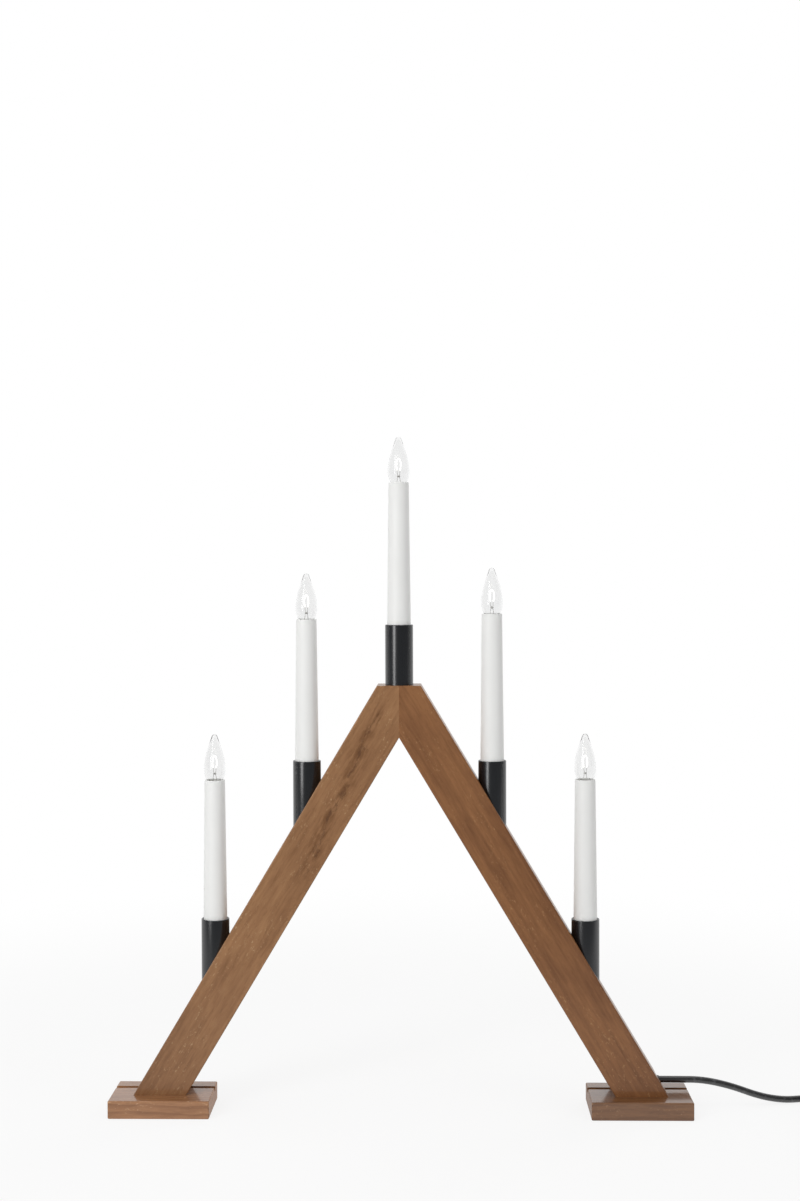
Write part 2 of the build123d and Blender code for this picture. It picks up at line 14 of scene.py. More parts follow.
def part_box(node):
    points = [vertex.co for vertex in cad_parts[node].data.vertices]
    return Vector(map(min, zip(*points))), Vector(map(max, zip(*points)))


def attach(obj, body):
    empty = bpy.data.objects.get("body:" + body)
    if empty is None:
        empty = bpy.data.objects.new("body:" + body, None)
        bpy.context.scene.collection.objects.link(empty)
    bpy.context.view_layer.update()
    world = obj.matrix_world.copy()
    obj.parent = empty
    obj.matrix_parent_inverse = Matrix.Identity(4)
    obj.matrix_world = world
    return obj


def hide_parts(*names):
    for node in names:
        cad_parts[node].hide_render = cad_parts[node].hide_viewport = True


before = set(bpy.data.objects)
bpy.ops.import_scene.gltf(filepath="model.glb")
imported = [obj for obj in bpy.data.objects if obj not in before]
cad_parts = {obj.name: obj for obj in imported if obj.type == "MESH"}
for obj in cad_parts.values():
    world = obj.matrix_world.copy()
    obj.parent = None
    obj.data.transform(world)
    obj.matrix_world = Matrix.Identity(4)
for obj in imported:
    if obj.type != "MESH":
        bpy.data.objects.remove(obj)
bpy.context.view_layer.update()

bl_info = {
    "name": "Candle Arch",
    "version": (1, 0, 0),
    "blender": (4, 5, 0),
    "location": "View3D > Sidebar > Candle Arch",
    "description": "Builds the finishes, bulbs, cord and stage of an electric candle arch",
    "category": "Object",
}

CANDLES = ["far_left", "left", "centre", "right", "far_right"]
MM = 0.001

# How far the figure of one board lies from that of the next, along the grain and in depth
BOARD_STEP = (0.71, 0.13)

# Camera, fitted to the photograph's 800 by 1201 pixels
PHOTO_HEIGHT = 1201
FOCAL_PIXELS = 1629.26
CAMERA_PLACE = Vector((0.02528, -1.20399, 0.39941))
CAMERA_YAW = -0.02032
CAMERA_PITCH = 0.01743
CAMERA_ROLL = -0.00319
SENSOR = 36.0

# The cord's route from the strain relief to the coil, point by point
CORD_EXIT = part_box("strain_relief")[1].x
CORD_ROUTE = [
    (CORD_EXIT, 0.01125, 0.0198),
    (CORD_EXIT + 0.014, 0.01125, 0.0198),
    (0.226, 0.0117, 0.0195),
    (0.247, 0.0127, 0.0146),
    (0.2685, 0.0146, 0.0063),
    (0.287, 0.0176, 0.0025),
    (0.303, 0.0208, 0.0025),
    (0.316, 0.0229, 0.00315),
    (0.328, 0.0234, 0.00315),
]


class Value:
    """A socket of a material's node tree that takes part in sums."""

    def __init__(self, finish, socket):
        self.finish = finish
        self.socket = socket

    def math(self, operation, *others):
        values = {place: other for place, other in enumerate((self, *others))}
        return self.finish.node("ShaderNodeMath", {"operation": operation}, values)

    def backwards(self, operation, other):
        return self.finish.node("ShaderNodeMath", {"operation": operation}, {0: other, 1: self})

    def __add__(self, other):
        return self.math("ADD", other)

    def __radd__(self, other):
        return self.backwards("ADD", other)

    def __sub__(self, other):
        return self.math("SUBTRACT", other)

    def __rsub__(self, other):
        return self.backwards("SUBTRACT", other)

    def __mul__(self, other):
        return self.math("MULTIPLY", other)

    def __rmul__(self, other):
        return self.backwards("MULTIPLY", other)

    def __truediv__(self, other):
        return self.math("DIVIDE", other)

    def fraction(self):
        return self.math("FRACT")

    def size(self):
        return self.math("ABSOLUTE")

    def ramp(self, low, high):
        """0 below low, 1 above high, and a smooth step between them."""
        settings = {"interpolation_type": "SMOOTHSTEP"}
        return self.finish.node("ShaderNodeMapRange", settings, {0: self, 1: low, 2: high})


class Nodes:
    """A node tree under construction."""

    def __init__(self, tree):
        self.tree = tree

    def node(self, kind, settings, values, output=0):
        """Adds a node, first its settings and then its sockets, and gives one of its outputs."""
        made = self.tree.nodes.new(kind)
        for name, value in settings.items():
            setattr(made, name, value)
        for place, value in values.items():
            self.feed(made.inputs[place], value)
        return Value(self, made.outputs[output])

    def feed(self, socket, value):
        if isinstance(value, Value):
            self.tree.links.new(value.socket, socket)
        elif socket.type == "RGBA" and len(value) == 3:
            socket.default_value = (*value, 1)
        else:
            socket.default_value = value

    def spot(self, kind):
        """Coordinates of the shaded spot, or in a sky the direction."""
        return self.node("ShaderNodeTexCoord", {}, {}, kind)

    def rays(self, *kinds):
        """1 for rays of these kinds and 0 for others."""
        made = self.node("ShaderNodeLightPath", {}, {}).socket.node
        found = [Value(self, made.outputs[f"Is {kind} Ray"]) for kind in kinds]
        return sum(found[1:], found[0]).math("MINIMUM", 1)

    def split(self, place):
        made = self.node("ShaderNodeSeparateXYZ", {}, {0: place}).socket.node
        return [Value(self, made.outputs[axis]) for axis in range(3)]


class Finish(Nodes):
    """A procedural material under construction."""

    def __init__(self, name, roughness=0.5, **constants):
        self.material = bpy.data.materials.new(name)
        self.material.use_nodes = True
        super().__init__(self.material.node_tree)
        self.surface = self.tree.nodes["Principled BSDF"]
        self.set(Roughness=roughness, **constants)

    def output(self, socket, value):
        self.feed(self.tree.nodes["Material Output"].inputs[socket], value)

    def set(self, **values):
        """Feeds sockets of the surface shader; a blank in a socket's name is written as _."""
        for socket, value in values.items():
            self.feed(self.surface.inputs[socket.replace("_", " ")], value)

    def place(self, turn=(0, 0, 0), scale=(1, 1, 1), shift=(0, 0, 0)):
        """The piece's own coordinates, turned, scaled and shifted."""
        values = {0: self.spot("Object"), 1: shift, 2: turn, 3: scale}
        return self.node("ShaderNodeMapping", {}, values)

    def stretch(self, place, scale):
        return self.node("ShaderNodeVectorMath", {"operation": "MULTIPLY"}, {0: place, 1: scale})

    def noise(self, place, scale=1.0, detail=3.0, roughness=0.5, bend=0.0):
        values = {"Vector": place, "Scale": scale, "Detail": detail, "Roughness": roughness, "Distortion": bend}
        return self.node("ShaderNodeTexNoise", {}, values)

    def mix(self, share, first, second):
        """A colour between two colours."""
        return self.node("ShaderNodeMix", {"data_type": "RGBA"}, {0: share, 6: first, 7: second}, 2)

    def shades(self, share, colour, strength):
        """A colour between one colour and a weaker or stronger shade of it."""
        return self.mix(share, colour, [strength * part for part in colour])

    def bump(self, height, strength, distance):
        values = {"Strength": strength, "Distance": distance, "Height": height}
        self.set(Normal=self.node("ShaderNodeBump", {}, values))


class WoodLook(bpy.types.PropertyGroup):
    """Colours and gloss of the lacquered wood."""

    light: FloatVectorProperty(
        name="Light", description="Light parts", subtype="COLOR", default=(0.300, 0.146, 0.062), min=0, max=1
    )
    dark: FloatVectorProperty(
        name="Dark", description="Dark parts", subtype="COLOR", default=(0.180, 0.078, 0.029), min=0, max=1
    )
    pore: FloatVectorProperty(
        name="Pores", description="Open pores", subtype="COLOR", default=(0.125, 0.051, 0.015), min=0, max=1
    )
    mark: FloatVectorProperty(
        name="Marks", description="Dark heart marks", subtype="COLOR", default=(0.092, 0.037, 0.012), min=0, max=1
    )
    haze: FloatVectorProperty(
        name="Haze", description="Brown round the heart", subtype="COLOR", default=(0.140, 0.052, 0.012), min=0, max=1
    )
    fleck: FloatVectorProperty(
        name="Flecks", description="Light flecks", subtype="COLOR", default=(0.50, 0.32, 0.17), min=0, max=1
    )
    fleck_share: FloatProperty(name="Fleck strength", description="How far flecks show", default=0.45)
    lean: FloatProperty(
        name="Lean", description="Angle of the legs", subtype="ANGLE", default=radians(59.1)
    )
    leg_level: FloatProperty(
        name="Leg level", description="From the origin square to a leg's middle line", unit="LENGTH",
        default=0.15935, precision=5
    )
    ring: FloatProperty(
        name="Ring", description="Width of a year ring", unit="LENGTH", default=0.0032, precision=4
    )
    heart_middle: FloatProperty(
        name="Heart middle", description="Where the heart line crosses a leg's middle", unit="LENGTH",
        default=0.183, precision=4
    )
    heart_slant: FloatProperty(name="Heart slant", description="Slant of the heart line", default=0.12)


class CandleLook(bpy.types.PropertyGroup):
    """Sizes and colours of sleeves, candle tubes and bulbs."""

    sleeve_colour: FloatVectorProperty(
        name="Sleeve", description="Black lacquer", subtype="COLOR", default=(0.003, 0.0042, 0.0062), min=0, max=1
    )
    tube_colour: FloatVectorProperty(
        name="Tube", description="White candle tube", subtype="COLOR", default=(0.855, 0.857, 0.842), min=0, max=1
    )
    sleeve_wall: FloatProperty(
        name="Sleeve wall", description="Thickness of a sleeve", unit="LENGTH", default=0.0012, precision=4
    )
    tube_top_radius: FloatProperty(
        name="Tube top", description="Radius at a tube's mouth", unit="LENGTH", default=0.00755, precision=5
    )
    mouth_radius: FloatProperty(
        name="Mouth", description="Inner radius at a tube's mouth", unit="LENGTH", default=0.00608, precision=5
    )
    glass_wall: FloatProperty(
        name="Glass wall", description="Thickness of the glass", unit="LENGTH", default=0.0006, precision=4
    )
    glass_tip: FloatProperty(
        name="Glass tip", description="How much thicker the glass is at the tip", unit="LENGTH", default=0.002,
        precision=4
    )
    glass_colour: FloatVectorProperty(
        name="Glass", description="Tint of the glass", subtype="COLOR", default=(0.94, 0.941, 0.94), min=0, max=1
    )
    glow: FloatProperty(name="Glow", description="Strength of the glowing coil", default=1.5)
    thread_depth: FloatProperty(
        name="Thread depth", description="Height of the lamp thread", unit="LENGTH", default=0.00035, precision=5
    )
    thread_pitch: FloatProperty(
        name="Thread pitch", description="Rise of the lamp thread in a turn", unit="LENGTH", default=0.001814,
        precision=6
    )
    segments: IntProperty(name="Segments", description="Steps round a turned piece", default=96, min=24, max=192)


class CordLook(bpy.types.PropertyGroup):
    """Sizes and colour of the cord, its coil and its plug."""

    diameter: FloatProperty(
        name="Diameter", description="Outer diameter of the cord", unit="LENGTH", default=0.005, precision=4
    )
    colour: FloatVectorProperty(
        name="Black", description="Cord and plug", subtype="COLOR", default=(0.012, 0.012, 0.013), min=0, max=1
    )
    coil_radius: FloatProperty(
        name="Coil", description="Radius of the widest turn", unit="LENGTH", default=0.0325, precision=4
    )
    coil_step: FloatProperty(
        name="Turn step", description="From one turn or layer to the next", unit="LENGTH", default=0.0055,
        precision=4
    )
    coil_lead: FloatProperty(
        name="Lead-in", description="Straight run into the coil", unit="LENGTH", default=0.012, precision=4
    )
    layers: IntProperty(name="Layers", description="Layers of the coil", default=4)
    half_turns: IntProperty(name="Half turns", description="Half turns in a layer", default=4)
    tail_bend: FloatProperty(
        name="Tail bend", description="Where the tail bends, from its two ends", unit="LENGTH", default=0.0166,
        precision=4
    )
    tail_end: FloatProperty(
        name="Tail end", description="Straight run into the plug", unit="LENGTH", default=0.005, precision=4
    )


class StageLook(bpy.types.PropertyGroup):
    """Floor and light."""

    floor_colour: FloatVectorProperty(
        name="Floor", description="Pale floor", subtype="COLOR", default=(0.9, 0.9, 0.9), min=0, max=1
    )
    key_power: FloatProperty(name="Key", description="Window to the left of the camera", unit="POWER", default=13)
    fill_power: FloatProperty(name="Fill", description="Soft light from the right", unit="POWER", default=3.6)
    top_power: FloatProperty(name="Top", description="Soft light from above", unit="POWER", default=6)
    back_power: FloatProperty(name="Back", description="Soft light from behind", unit="POWER", default=5)
    sky: FloatProperty(name="Sky", description="Even light from all around", default=0.38)
    room: FloatProperty(name="Room", description="What mirrors see of the room before the object", default=0.24)
    front_floor: FloatProperty(
        name="Front floor", description="What mirrors see of the floor before the object", default=0.28
    )
    glass_room: FloatProperty(name="Glass room", description="What shows of the room through glass", default=0.5)


def show(name, mesh):
    """A scene object for a finished mesh."""
    made = bpy.data.objects.new(name, mesh)
    bpy.context.scene.collection.objects.link(made)
    return made


def piece_from(name, bm, finish, body, *nodes, slot=None, flat_above=radians(35)):
    """Turns a bmesh into a piece that rides on a body in place of its CAD nodes."""
    mesh = bpy.data.meshes.new(name)
    bm.to_mesh(mesh)
    bm.free()
    mesh.materials.append(finish)
    mesh.shade_smooth()
    mesh.set_sharp_from_angle(angle=flat_above)
    made = show(name, mesh)
    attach(made, body)
    if nodes:
        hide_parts(*nodes)
    return made


def dress(node, finish):
    """Gives a CAD node a finish."""
    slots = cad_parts[node].data.materials
    slots.clear()
    slots.append(finish)


def turned(profile, centre, segments, closed=False):
    """Spins a profile of (radius, height) points about an upright axis through centre."""
    bm = bmesh.new()
    points = [bm.verts.new((centre.x + radius, centre.y, height)) for radius, height in profile]
    edges = [bm.edges.new(pair) for pair in zip(points, points[1:])]
    if closed:
        edges.append(bm.edges.new((points[-1], points[0])))
    bmesh.ops.spin(
        bm, geom=points + edges, cent=(centre.x, centre.y, 0), axis=(0, 0, 1), angle=2 * pi,
        steps=segments, use_merge=True,
    )
    bmesh.ops.remove_doubles(bm, verts=bm.verts, dist=1e-6)
    bmesh.ops.recalc_face_normals(bm, faces=bm.faces)
    return bm


def arc(centre, radius, start, end, steps):
    """Points of an arc in a profile, angles in degrees from the outward direction."""
    turns = [radians(start + (end - start) * step / steps) for step in range(steps + 1)]
    return [(centre[0] + radius * cos(turn), centre[1] + radius * sin(turn)) for turn in turns]


def middle(node):
    """The upright axis of a node as a point, with its lowest and highest level."""
    low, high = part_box(node)
    return (low + high) / 2, low.z, high.z


class ARCH_OT_camera(bpy.types.Operator):
    """Places the camera at the photograph's point of view"""

    bl_idname = "arch.camera"
    bl_label = "Camera"

    def execute(self, context):
        data = bpy.data.cameras.new("portrait_camera")
        data.sensor_width = SENSOR
        data.lens = FOCAL_PIXELS * SENSOR / PHOTO_HEIGHT
        camera = show("portrait_camera", data)
        ahead = Vector((sin(CAMERA_YAW), cos(CAMERA_YAW), 0))
        right = Vector((cos(CAMERA_YAW), -sin(CAMERA_YAW), 0))
        up = Vector((0, 0, 1))
        ahead, up = (
            ahead * cos(CAMERA_PITCH) - up * sin(CAMERA_PITCH),
            up * cos(CAMERA_PITCH) + ahead * sin(CAMERA_PITCH),
        )
        right, up = (
            right * cos(CAMERA_ROLL) + up * sin(CAMERA_ROLL),
            up * cos(CAMERA_ROLL) - right * sin(CAMERA_ROLL),
        )
        turn = Matrix((right, up, -ahead)).transposed()
        camera.matrix_world = Matrix.Translation(CAMERA_PLACE) @ turn.to_4x4()
        context.scene.camera = camera
        return {"FINISHED"}


def cord_black(look):
    """Black cord sheath: satin, with a fine drawn texture and dull scuffs, whose light patches are partly painted
    highlights.
    """
    finish = Finish("cord_black", IOR=1.5, Coat_Weight=1.0, Coat_Roughness=0.12)
    place = finish.place()
    scuffs_and_highlights = finish.noise(place, 220, 4, 0.6)
    grain = finish.noise(place, 2600, 2)
    # Light patches in the black: partly scuffs, partly painted highlights
    finish.set(Base_Color=finish.shades(scuffs_and_highlights.ramp(0.5, 0.75), look.colour, 6))
    finish.set(Roughness=0.30 + 0.22 * scuffs_and_highlights)
    finish.bump(grain, 0.25, 0.0001)
    return finish.material


def coil_points(look, start):
    """Points of the coil, whose layers spiral in and out again, and of its tail to the plug."""
    per_half_turn = 8
    half_step = pi / per_half_turn / 2
    ahead = Vector((1, 0, 0))
    points = []
    end = start + ahead * look.coil_lead
    heading = 1
    for turn in range(look.layers * look.half_turns):
        fold = turn % (2 * look.half_turns)
        radius = look.coil_radius - min(fold, 2 * look.half_turns - fold) * look.coil_step / 2
        climb = look.coil_step if turn and turn % look.half_turns == 0 else 0
        centre = end + Vector((0, -heading * radius, climb / 2))
        for step in range(per_half_turn):
            angle = (2 * step + 1) * half_step
            way = Vector((sin(angle), cos(angle), 0)) * (heading * radius / cos(half_step))
            points.append(centre + way - Vector((0, 0, cos(angle) * climb / 2)))
        end = centre + Vector((0, -heading * radius, climb / 2))
        heading = -heading
    plug_low, plug_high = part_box("plug_body")
    plug_axis = Vector((plug_low.x, (plug_low.y + plug_high.y) / 2, (plug_low.z + plug_high.z) / 2))
    points += [end + ahead * look.tail_bend, plug_axis - ahead * (look.tail_end + look.tail_bend)]
    points += [plug_axis - ahead * look.tail_end, plug_axis]
    return points


class ARCH_OT_cord(bpy.types.Operator):
    """Lays the cord from its strain relief to its coil and its plug"""

    bl_idname = "arch.cord"
    bl_label = "Cord"

    def execute(self, context):
        look = context.scene.arch_cord
        route = [Vector(point) for point in CORD_ROUTE]
        route += coil_points(look, route[-1])
        data = bpy.data.curves.new("mains_cord", "CURVE")
        data.dimensions = "3D"
        line = data.splines.new("NURBS")
        line.points.add(len(route) - 1)
        for point, place in zip(line.points, route):
            point.co = (*place, 1)
        line.order_u = 3
        line.use_endpoint_u = True
        line.resolution_u = 6
        data.bevel_depth = look.diameter / 2
        data.bevel_resolution = 6
        data.use_fill_caps = True
        cord = show("mains_cord", data)
        black = cord_black(look)
        data.materials.append(black)
        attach(cord, "frame")
        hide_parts("cord", "cord_coil")
        dress("strain_relief", black)
        strap = Finish("tie_loops", 0.85, Sheen_Weight=0.3, Sheen_Roughness=0.4)
        loops = strap.noise(strap.place(), 1400, 3, 0.7)
        strap.set(Base_Color=strap.mix(loops, (0.008, 0.008, 0.009), (0.045, 0.045, 0.048)))
        strap.bump(loops, 0.6, 0.0006)
        dress("coil_tie", strap.material)
        moulded = Finish("plug_moulding", IOR=1.5)
        spark = moulded.noise(moulded.place(), 1900, 2)
        moulded.set(Base_Color=moulded.shades(spark, look.colour, 2))
        moulded.set(Roughness=0.38 + 0.2 * spark)
        moulded.bump(spark, 0.2, 0.0002)
        dress("plug_body", moulded.material)
        pins = Finish("plug_nickel", 0.22, Metallic=1.0, Base_Color=(0.62, 0.6, 0.56))
        wear = pins.noise(pins.place(scale=(200, 900, 900)), 1, 3)
        pins.set(Roughness=0.16 + 0.2 * wear)
        dress("plug_pins", pins.material)
        return {"FINISHED"}


def lacquered_wood(
    name, look, turn, level, seed, tint, figure, rings=0.12, heart=0.0, gloss=0.4, ends=(0, 1), painted_shading=(0, 1, 0, 0)
):
    """Brown lacquered wood, whose grain runs along the turned X axis at a level.

    ends holds the middle and the reach of the sawn ends. The painted shading argument holds two places along the
    grain, and how much painted shade darkens the wood before the first and after the second; a negative amount is
    painted light.
    """
    finish = Finish(name, IOR=1.5, Specular_IOR_Level=0.3, Coat_Roughness=0.14)
    board, layer = (seed * step for step in BOARD_STEP)
    place = finish.place((0, turn, 0), (1, 1, 1), (board, layer, -level))
    along, depth, across = finish.split(place)
    along = along - board
    cloud = finish.noise(finish.stretch(place, (14, 55, 55)), 1, 3, 0.5, 0.5)
    bands = finish.noise(finish.stretch(place, (7, 130, 130)), 1, 3, 0.55, 0.8)
    pores = finish.noise(finish.stretch(place, (190, 1250, 1250)), 1, 3, 0.6)
    fibre = finish.noise(finish.stretch(place, (45, 800, 800)), 1, 3, 0.6)
    ring = ((depth * 0.8 + across * 0.6) / look.ring + cloud * 2.5).fraction()
    late = ring.ramp(0.3, 0.9) * (1 - ring.ramp(0.9, 1.0))
    tone = cloud.ramp(0.3, 0.7) * 0.4 + bands.ramp(0.3, 0.7) * figure + fibre.ramp(0.3, 0.75) * 0.25
    streaks = finish.noise(finish.stretch(place, (70, 420, 420)), 1, 4, 0.6)
    tone = tone + late * rings + (streaks.ramp(0.35, 0.7) - 0.5) * 0.3
    # Painted shade and painted light: the wood darker or lighter towards one end of the grain
    start, stop, before, after = painted_shading
    tone = tone + (before + along.ramp(start, stop) * (after - before))
    # End grain: the year rings stand out across the sawn ends
    end_middle, end_reach = ends
    sawn = (along - end_middle).size().ramp(end_reach - 0.6 * MM, end_reach - 0.2 * MM)
    tone = tone + sawn * (late * 2.2 - 0.5)
    light, dark, pore, fleck = (
        [part * cast for part, cast in zip(colour, tint)] for colour in (look.light, look.dark, look.pore, look.fleck)
    )
    wood = finish.mix(tone, light, dark)
    wood = finish.mix(pores.ramp(0.55, 0.75) * 0.4, wood, pore)
    # Short light flecks in patches
    patch = finish.noise(finish.stretch(place, (30, 90, 90)), 1, 2).ramp(0.42, 0.62)
    flecks = finish.noise(finish.stretch(place, (420, 900, 900)), 1, 2, 0.5, 0.4).ramp(0.6, 0.72)
    wood = finish.mix(patch * flecks * look.fleck_share, wood, fleck)
    # Heart: a dark, broken, wavering line that crosses the board at a slant, in a wider haze
    wander = finish.noise(finish.stretch(place, (55, 20, 60)), 1, 6, 0.68)
    from_heart = along - look.heart_middle
    line = across - look.heart_slant * from_heart + (wander - 0.5) * 0.017
    inside = (1 - from_heart.size().ramp(0.058, 0.078)) * heart
    broken = finish.noise(finish.stretch(place, (75, 200, 200)), 1, 3, 0.6)
    haze = (1 - line.size().ramp(0.0004, 0.0080)) * (broken * 0.5 + streaks * 0.5).ramp(0.40, 0.58)
    crack = (1 - line.size().ramp(0.0002, 0.0014)) * broken.ramp(0.44, 0.6)
    stray = finish.noise(finish.stretch(place, (90, 30, 110)), 1, 5, 0.65)
    branch = (1 - (line + (stray - 0.5) * 0.02).size().ramp(0.0002, 0.0012)) * stray.ramp(0.4, 0.55)
    wood = finish.mix(haze * inside * 0.75, wood, look.haze)
    wood = finish.mix((crack * 0.65).math("MAXIMUM", branch * 0.45) * inside, wood, look.mark)
    finish.set(Base_Color=wood, Roughness=0.40 + 0.2 * pores, Coat_Weight=gloss - sawn * (0.85 * gloss))
    finish.bump(pores * 0.5 + fibre * 0.5 - crack * inside * 0.5, 0.15, 0.0003)
    return finish.material


class ARCH_OT_woodwork(bpy.types.Operator):
    """Finishes the legs, the feet and the cover strips in lacquered wood"""

    bl_idname = "arch.woodwork"
    bl_label = "Woodwork"

    def execute(self, context):
        look = context.scene.arch_wood
        turns = {"left": (look.lean, look.leg_level), "right": (pi - look.lean, -look.leg_level)}
        warm = (0.91, 0.80, 0.66)
        pale = (1.15, 1.18, 1.18)
        # Painted shade along the legs: the left leg darker towards its foot, the right leg painted lighter towards
        # the apex
        painted_shade_below = (-0.06, 0.03, 0.32, 0)
        painted_light_above = (0.13, 0.2, 0, -0.4)
        left = lacquered_wood(
            "left_leg_wood", look, *turns["left"], 1, pale, 0.2, heart=1.0, painted_shading=painted_shade_below
        )
        right = lacquered_wood("right_leg_wood", look, *turns["right"], 2, warm, 0.6, painted_shading=painted_light_above)
        dress("left_leg", left)
        dress("right_leg", right)
        for seed, (side, (turn, level)) in enumerate(turns.items()):
            strip = lacquered_wood(f"{side}_strip_wood", look, turn, level, seed + 7, (0.9, 0.88, 0.86), 0.5)
            dress(f"{side}_channel_cover", strip)
        feet = {"left": (4, (1.36, 1.34, 1.36), 0.3, 0.5, 0.85), "right": (5, (0.78, 0.73, 0.66), 0.4, 0.4, 1.0)}
        for side, (seed, tint, figure, rings, gloss) in feet.items():
            low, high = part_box(f"{side}_foot")
            centre = (low + high) / 2
            ends = (centre.x, high.x - centre.x)
            wood = lacquered_wood(f"{side}_foot_wood", look, 0, centre.z, seed, tint, figure, rings, 0, gloss, ends)
            dress(f"{side}_foot", wood)
        return {"FINISHED"}


def cross_screws(box):
    """Four countersunk screws, mirrored from one, with a cross recess in the underside of each head."""
    low, high = box
    head, shank = 3.6 * MM, 1.8 * MM
    spacing = 12 * MM
    shank_length = 24.4 * MM
    recess_depth = 1.3 * MM
    bm = bmesh.new()
    for x in (high.x - head, high.x - head - spacing):
        place = Vector((x, (low.y + high.y) / 2, low.z))
        rim = bmesh.ops.create_circle(bm, segments=40, radius=head)["verts"]
        bmesh.ops.translate(bm, vec=place, verts=rim)
        loop = list({edge for vert in rim for edge in vert.link_edges})
        outline = [(0.5, 0.5), (0.5, 2.1), (-0.5, 2.1)]
        corners = []
        for quarter in range(4):
            turn = Matrix.Rotation(quarter * pi / 2, 3, "Z")
            corners += [bm.verts.new(place + turn @ Vector((out, up, 0)) * MM) for out, up in outline]
        cross = [bm.edges.new(pair) for pair in zip(corners, corners[1:] + corners[:1])]
        bmesh.ops.triangle_fill(bm, edges=loop + cross, use_beauty=True)
        walls = bmesh.ops.extrude_edge_only(bm, edges=cross)["geom"]
        deep = [part for part in walls if isinstance(part, bmesh.types.BMVert)]
        bmesh.ops.translate(bm, vec=(0, 0, recess_depth), verts=deep)
        middle_of = Matrix.Translation(place)
        bmesh.ops.scale(bm, vec=(0.8, 0.8, 1), verts=deep, space=middle_of.inverted())
        bmesh.ops.contextual_create(bm, geom=deep)
        ring = loop
        for radius, rise in ((shank / head, head - shank), (1, shank_length), (0.1, shank)):
            made = bmesh.ops.extrude_edge_only(bm, edges=ring)["geom"]
            ring = [part for part in made if isinstance(part, bmesh.types.BMEdge)]
            spots = [part for part in made if isinstance(part, bmesh.types.BMVert)]
            bmesh.ops.translate(bm, vec=(0, 0, rise), verts=spots)
            bmesh.ops.scale(bm, vec=(radius, radius, 1), verts=spots, space=middle_of.inverted())
        bmesh.ops.contextual_create(bm, geom=ring)
    bmesh.ops.mirror(bm, geom=bm.verts[:] + bm.edges[:] + bm.faces[:], axis="X", merge_dist=-1)
    bmesh.ops.recalc_face_normals(bm, faces=bm.faces)
    return bm


class ARCH_OT_hardware(bpy.types.Operator):
    """Finishes the dowels, the foot screws and the wiring"""

    bl_idname = "arch.hardware"
    bl_label = "Dowels, screws and wiring"

    def execute(self, context):
        dowel = Finish("dowel_beech", 0.7)
        fibre = dowel.noise(dowel.place(scale=(60, 700, 700)), 1, 3)
        dowel.set(Base_Color=dowel.mix(fibre, (0.58, 0.40, 0.24), (0.42, 0.26, 0.14)))
        dress("mitre_dowels", dowel.material)
        zinc = Finish("screw_zinc", 0.35, Metallic=1.0)
        cloud = zinc.noise(zinc.place(), 900, 3)
        zinc.set(Base_Color=zinc.mix(cloud, (0.6, 0.58, 0.5), (0.48, 0.47, 0.45)), Roughness=0.28 + 0.2 * cloud)
        heads = cross_screws(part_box("foot_screws"))
        piece_from("countersunk_screws", heads, zinc.material, "frame", "foot_screws", slot="screw_steel")
        wire = Finish("wire_insulation", 0.45)
        drawn = wire.noise(wire.place(), 700, 2)
        wire.set(Base_Color=wire.mix(drawn, (0.74, 0.73, 0.7), (0.66, 0.65, 0.62)))
        dress("wiring_harness", wire.material)
        return {"FINISHED"}


class ARCH_OT_sleeves(bpy.types.Operator):
    """Turns the black sleeves that hold the candle tubes"""

    bl_idname = "arch.sleeves"
    bl_label = "Sleeves"

    def execute(self, context):
        look = context.scene.arch_candle
        finish = Finish("sleeve_lacquer", IOR=1.5, Specular_IOR_Level=0.8)
        place = finish.place()
        mist = finish.noise(place, 600, 2)
        cloud = finish.noise(place, 60, 2)
        finish.set(Base_Color=finish.shades(cloud, look.sleeve_colour, 1.35))
        finish.set(Roughness=0.23 + 0.04 * mist)
        lip = 0.4 * MM
        floor = 1.5 * MM
        hole = 4.5 * MM
        for name in CANDLES:
            node = f"{name}_sleeve"
            centre, low, high = middle(node)
            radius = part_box(node)[1].x - centre.x
            inner = radius - look.sleeve_wall
            profile = [(hole, low), (radius, low), (radius, (low + high) / 2)]
            profile += arc((radius - lip, high - lip), lip, 0, 90, 5)
            profile += arc((inner + lip, high - lip), lip, 90, 180, 5)
            profile += [(inner, low + floor), (hole, low + floor)]
            bm = turned(profile, centre, look.segments, closed=True)
            piece_from(f"{name}_sleeve_shell", bm, finish.material, "frame", node, slot="sleeve_black")
        return {"FINISHED"}


class ARCH_OT_tubes(bpy.types.Operator):
    """Turns the white candle tubes"""

    bl_idname = "arch.tubes"
    bl_label = "Candle tubes"

    def execute(self, context):
        look = context.scene.arch_candle
        finish = Finish("candle_white", IOR=1.48)
        place = finish.place()
        cloud = finish.noise(finish.stretch(place, (90, 90, 30)), 1, 3)
        finish.set(Base_Color=finish.shades(cloud, look.tube_colour, 0.96))
        finish.set(Roughness=0.42 + 0.12 * cloud)
        finish.bump(finish.noise(place, 900, 2), 0.03, 0.0001)
        lip = 0.45 * MM
        wall = 1.3 * MM
        seat_play = 0.1 * MM
        ledge = 1.0 * MM
        ledge_height = 1.4 * MM
        for name in CANDLES:
            node = f"{name}_candle_tube"
            centre, low, high = middle(node)
            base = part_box(node)[1].x - centre.x
            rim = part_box(f"{name}_sleeve")[1].z
            inner = base - wall
            top = look.tube_top_radius
            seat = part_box(f"{name}_lamp_socket")
            seat_radius = (seat[1].x - seat[0].x) / 2 + seat_play
            under = seat[0].z - ledge_height
            profile = [(inner, low), (base, low), (base, rim)]
            profile += arc((top - lip, high - lip), lip, 0, 90, 5)
            profile += arc((look.mouth_radius + lip, high - lip), lip, 90, 180, 5)
            profile += [
                (look.mouth_radius, seat[1].z), (seat_radius, seat[1].z), (seat_radius, seat[0].z),
                (seat_radius - ledge, seat[0].z), (seat_radius - ledge, under), (top - wall, under),
            ]
            bm = turned(profile, centre, look.segments, closed=True)
            piece_from(f"{name}_tube_shell", bm, finish.material, "frame", node, slot="candle_white")
        return {"FINISHED"}


